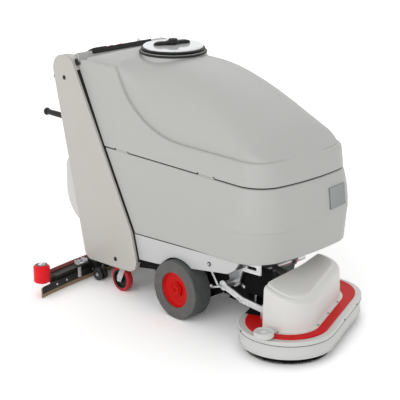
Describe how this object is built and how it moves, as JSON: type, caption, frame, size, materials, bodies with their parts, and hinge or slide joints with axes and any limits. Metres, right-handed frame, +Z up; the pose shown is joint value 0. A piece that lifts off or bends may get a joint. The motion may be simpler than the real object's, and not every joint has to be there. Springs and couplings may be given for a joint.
{
  "type": "walk-behind scrubber dryer",
  "caption": "Battery floor scrubber dryer with moulded tanks, slanted side columns, an offset disc-brush deck, a curved rear squeegee and red drive wheels.",
  "frame": {"origin": "on the floor, at the middle of the machine's length and width", "axes": "+X the way it drives, +Y its left side, +Z up"},
  "size_m": [1.573, 1.104, 1.053],
  "materials": {
    "tank_grey": "moulded satin",
    "column_grey": "satin paint",
    "plate_grey": "satin paint",
    "skirt_grey": "moulded satin",
    "black_plastic": "fine grain",
    "black_metal": "satin paint",
    "dark_metal": "satin paint",
    "cast_dark": "painted casting",
    "galvanised": "zinc plated",
    "red_plastic": "gloss",
    "red_paint": "gloss paint",
    "tyre_rubber": "matt",
    "blade_rubber": "matt",
    "clear_plastic": "clear"
  },
  "bodies": {
    "chassis": {"chassis_frame": "dark_metal", "chassis_plates": "plate_grey", "solution_tank": "tank_grey", "battery_pack": "black_plastic", "columns": "column_grey", "rear_console": "tank_grey", "control_panel": "black_plastic", "handle_bar": "black_plastic", "rear_cover": "skirt_grey", "transaxle": "cast_dark", "drive_motor": "black_metal", "vacuum_motor": "black_plastic", "side_bolts": "galvanised", "tank_hinge_brackets": "black_plastic", "deck_brackets": "galvanised", "castor_brackets": "dark_metal", "squeegee_hinge": "galvanised"},
    "drive_wheel_right": {"tyre_right": "tyre_rubber", "hub_right": "red_plastic"},
    "drive_wheel_left": {"tyre_left": "tyre_rubber", "hub_left": "red_plastic"},
    "castor_swivel_right": {"castor_fork_right": "galvanised"},
    "castor_swivel_left": {"castor_fork_left": "galvanised"},
    "castor_wheel_right": {"castor_tread_right": "red_plastic", "castor_core_right": "black_plastic"},
    "castor_wheel_left": {"castor_tread_left": "red_plastic", "castor_core_left": "black_plastic"},
    "tank": {"recovery_tank": "tank_grey", "tank_neck": "tank_grey", "tank_hinge_pins": "galvanised"},
    "lid": {"lid_disc": "clear_plastic", "lid_gasket": "black_plastic", "lid_handle": "black_plastic"},
    "deck_arms": {"deck_arms": "galvanised"},
    "deck_link": {"deck_link": "galvanised"},
    "deck": {"deck_pan": "dark_metal", "deck_skirt": "skirt_grey", "deck_plate": "red_paint", "motor_cover": "tank_grey", "brush_motors": "black_metal", "deck_lugs": "galvanised"},
    "deck_roller": {"deck_roller": "skirt_grey"},
    "brush_right": {"brush_right": "black_plastic", "bristles_right": "black_plastic"},
    "brush_left": {"brush_left": "black_plastic", "bristles_left": "black_plastic"},
    "squeegee_arm": {"squeegee_arm": "galvanised"},
    "squeegee": {"squeegee_body": "black_plastic", "blades": "blade_rubber", "suction_spigot": "black_plastic", "squeegee_knobs": "galvanised"},
    "squeegee_roller_right": {"roller_right": "red_plastic"},
    "squeegee_roller_left": {"roller_left": "red_plastic"},
    "squeegee_wheel_right": {"squeegee_wheel_right": "black_plastic"},
    "squeegee_wheel_left": {"squeegee_wheel_left": "black_plastic"},
    "lift_lever": {"lift_lever": "black_plastic"},
    "drive_bail": {"drive_bail": "black_metal"},
    "key": {"key_switch": "galvanised"},
    "button_right": {"button_right": "red_plastic"},
    "button_left": {"button_left": "red_plastic"}
  },
  "joints": [
    {"name": "drive_wheel_right_spin", "type": "hinge", "parent": "chassis", "child": "drive_wheel_right", "pos_m": [0.1035, -0.2515, 0.122], "axis": [0, 1, 0], "continuous": true},
    {"name": "drive_wheel_left_spin", "type": "hinge", "parent": "chassis", "child": "drive_wheel_left", "pos_m": [0.1035, 0.2515, 0.122], "axis": [0, 1, 0], "continuous": true},
    {"name": "castor_swivel_right", "type": "hinge", "parent": "chassis", "child": "castor_swivel_right", "pos_m": [-0.2365, -0.246, 0.14], "axis": [0, 0, 1], "continuous": true},
    {"name": "castor_wheel_right_spin", "type": "hinge", "parent": "castor_swivel_right", "child": "castor_wheel_right", "pos_m": [-0.2715, -0.246, 0.054], "axis": [0, 1, 0], "continuous": true},
    {"name": "castor_swivel_left", "type": "hinge", "parent": "chassis", "child": "castor_swivel_left", "pos_m": [-0.2365, 0.246, 0.14], "axis": [0, 0, 1], "continuous": true},
    {"name": "castor_wheel_left_spin", "type": "hinge", "parent": "castor_swivel_left", "child": "castor_wheel_left", "pos_m": [-0.2715, 0.246, 0.054], "axis": [0, 1, 0], "continuous": true},
    {"name": "tank_tilt", "type": "hinge", "parent": "chassis", "child": "tank", "pos_m": [-0.5005, 0, 0.948], "axis": [0, -1, 0], "range_deg": [0, 60]},
    {"name": "lid_lift_off", "type": "slide", "parent": "tank", "child": "lid", "axis": [0, 0, 1], "range_m": [0, 0.15]},
    {"name": "deck_lift", "type": "hinge", "parent": "chassis", "child": "deck_arms", "pos_m": [0.3195, 0, 0.188], "axis": [0, -1, 0], "range_deg": [0, 10]},
    {"name": "deck_level", "type": "hinge", "parent": "deck_arms", "child": "deck", "pos_m": [0.5335, 0, 0.149], "axis": [0, -1, 0], "range_deg": [-10, 0]},
    {"name": "link_swing", "type": "hinge", "parent": "chassis", "child": "deck_link", "pos_m": [0.2995, 0, 0.238], "axis": [0, -1, 0], "range_deg": [0, 10]},
    {"name": "brush_right_spin", "type": "hinge", "parent": "deck", "child": "brush_right", "pos_m": [0.6005, -0.17, 0.06], "axis": [0, 0, 1], "continuous": true},
    {"name": "brush_left_spin", "type": "hinge", "parent": "deck", "child": "brush_left", "pos_m": [0.46844, 0.14113, 0.06], "axis": [0, 0, 1], "continuous": true},
    {"name": "deck_roller_spin", "type": "hinge", "parent": "deck", "child": "deck_roller", "pos_m": [0.6385, -0.342, 0.12], "axis": [0, 0, 1], "continuous": true},
    {"name": "squeegee_lift", "type": "hinge", "parent": "chassis", "child": "squeegee_arm", "pos_m": [-0.3165, 0, 0.17], "axis": [0, 1, 0], "range_deg": [0, 14]},
    {"name": "squeegee_swing", "type": "hinge", "parent": "squeegee_arm", "child": "squeegee", "pos_m": [-0.4815, 0, 0.09], "axis": [0, 0, 1], "range_deg": [-5, 5]},
    {"name": "squeegee_roller_right_spin", "type": "hinge", "parent": "squeegee", "child": "squeegee_roller_right", "pos_m": [-0.48375, -0.512, 0.09], "axis": [0, 0, 1], "continuous": true},
    {"name": "squeegee_wheel_right_spin", "type": "hinge", "parent": "squeegee", "child": "squeegee_wheel_right", "pos_m": [-0.4345, -0.222, 0.027], "axis": [0, 1, 0], "continuous": true},
    {"name": "squeegee_roller_left_spin", "type": "hinge", "parent": "squeegee", "child": "squeegee_roller_left", "pos_m": [-0.48375, 0.512, 0.09], "axis": [0, 0, 1], "continuous": true},
    {"name": "squeegee_wheel_left_spin", "type": "hinge", "parent": "squeegee", "child": "squeegee_wheel_left", "pos_m": [-0.4345, 0.222, 0.027], "axis": [0, 1, 0], "continuous": true},
    {"name": "lift_lever_pull", "type": "hinge", "parent": "chassis", "child": "lift_lever", "pos_m": [-0.5645, -0.229, 0.69], "axis": [0, 1, 0], "range_deg": [0, 30]},
    {"name": "drive_bail_pull", "type": "hinge", "parent": "chassis", "child": "drive_bail", "pos_m": [-0.5775, 0, 0.881], "axis": [0, 1, 0], "range_deg": [0, 10]},
    {"name": "key_turn", "type": "hinge", "parent": "chassis", "child": "key", "pos_m": [-0.56202, 0.12, 0.98126], "axis": [-0.3746, 0, 0.9272], "range_deg": [0, 90]},
    {"name": "button_right_press", "type": "slide", "parent": "chassis", "child": "button_right", "axis": [0.3746, 0, -0.9272], "range_m": [0, 0.003], "stiffness_N_per_m": 400, "springref_m": -0.004},
    {"name": "button_left_press", "type": "slide", "parent": "chassis", "child": "button_left", "axis": [0.3746, 0, -0.9272], "range_m": [0, 0.003], "stiffness_N_per_m": 400, "springref_m": -0.004}
  ],
  "couplings": [
    {"joint": "deck_level", "follows": "deck_lift", "ratio": -1},
    {"joint": "link_swing", "follows": "deck_lift", "ratio": 1},
    {"joint": "squeegee_lift", "follows": "lift_lever_pull", "ratio": 0.46667}
  ]
}
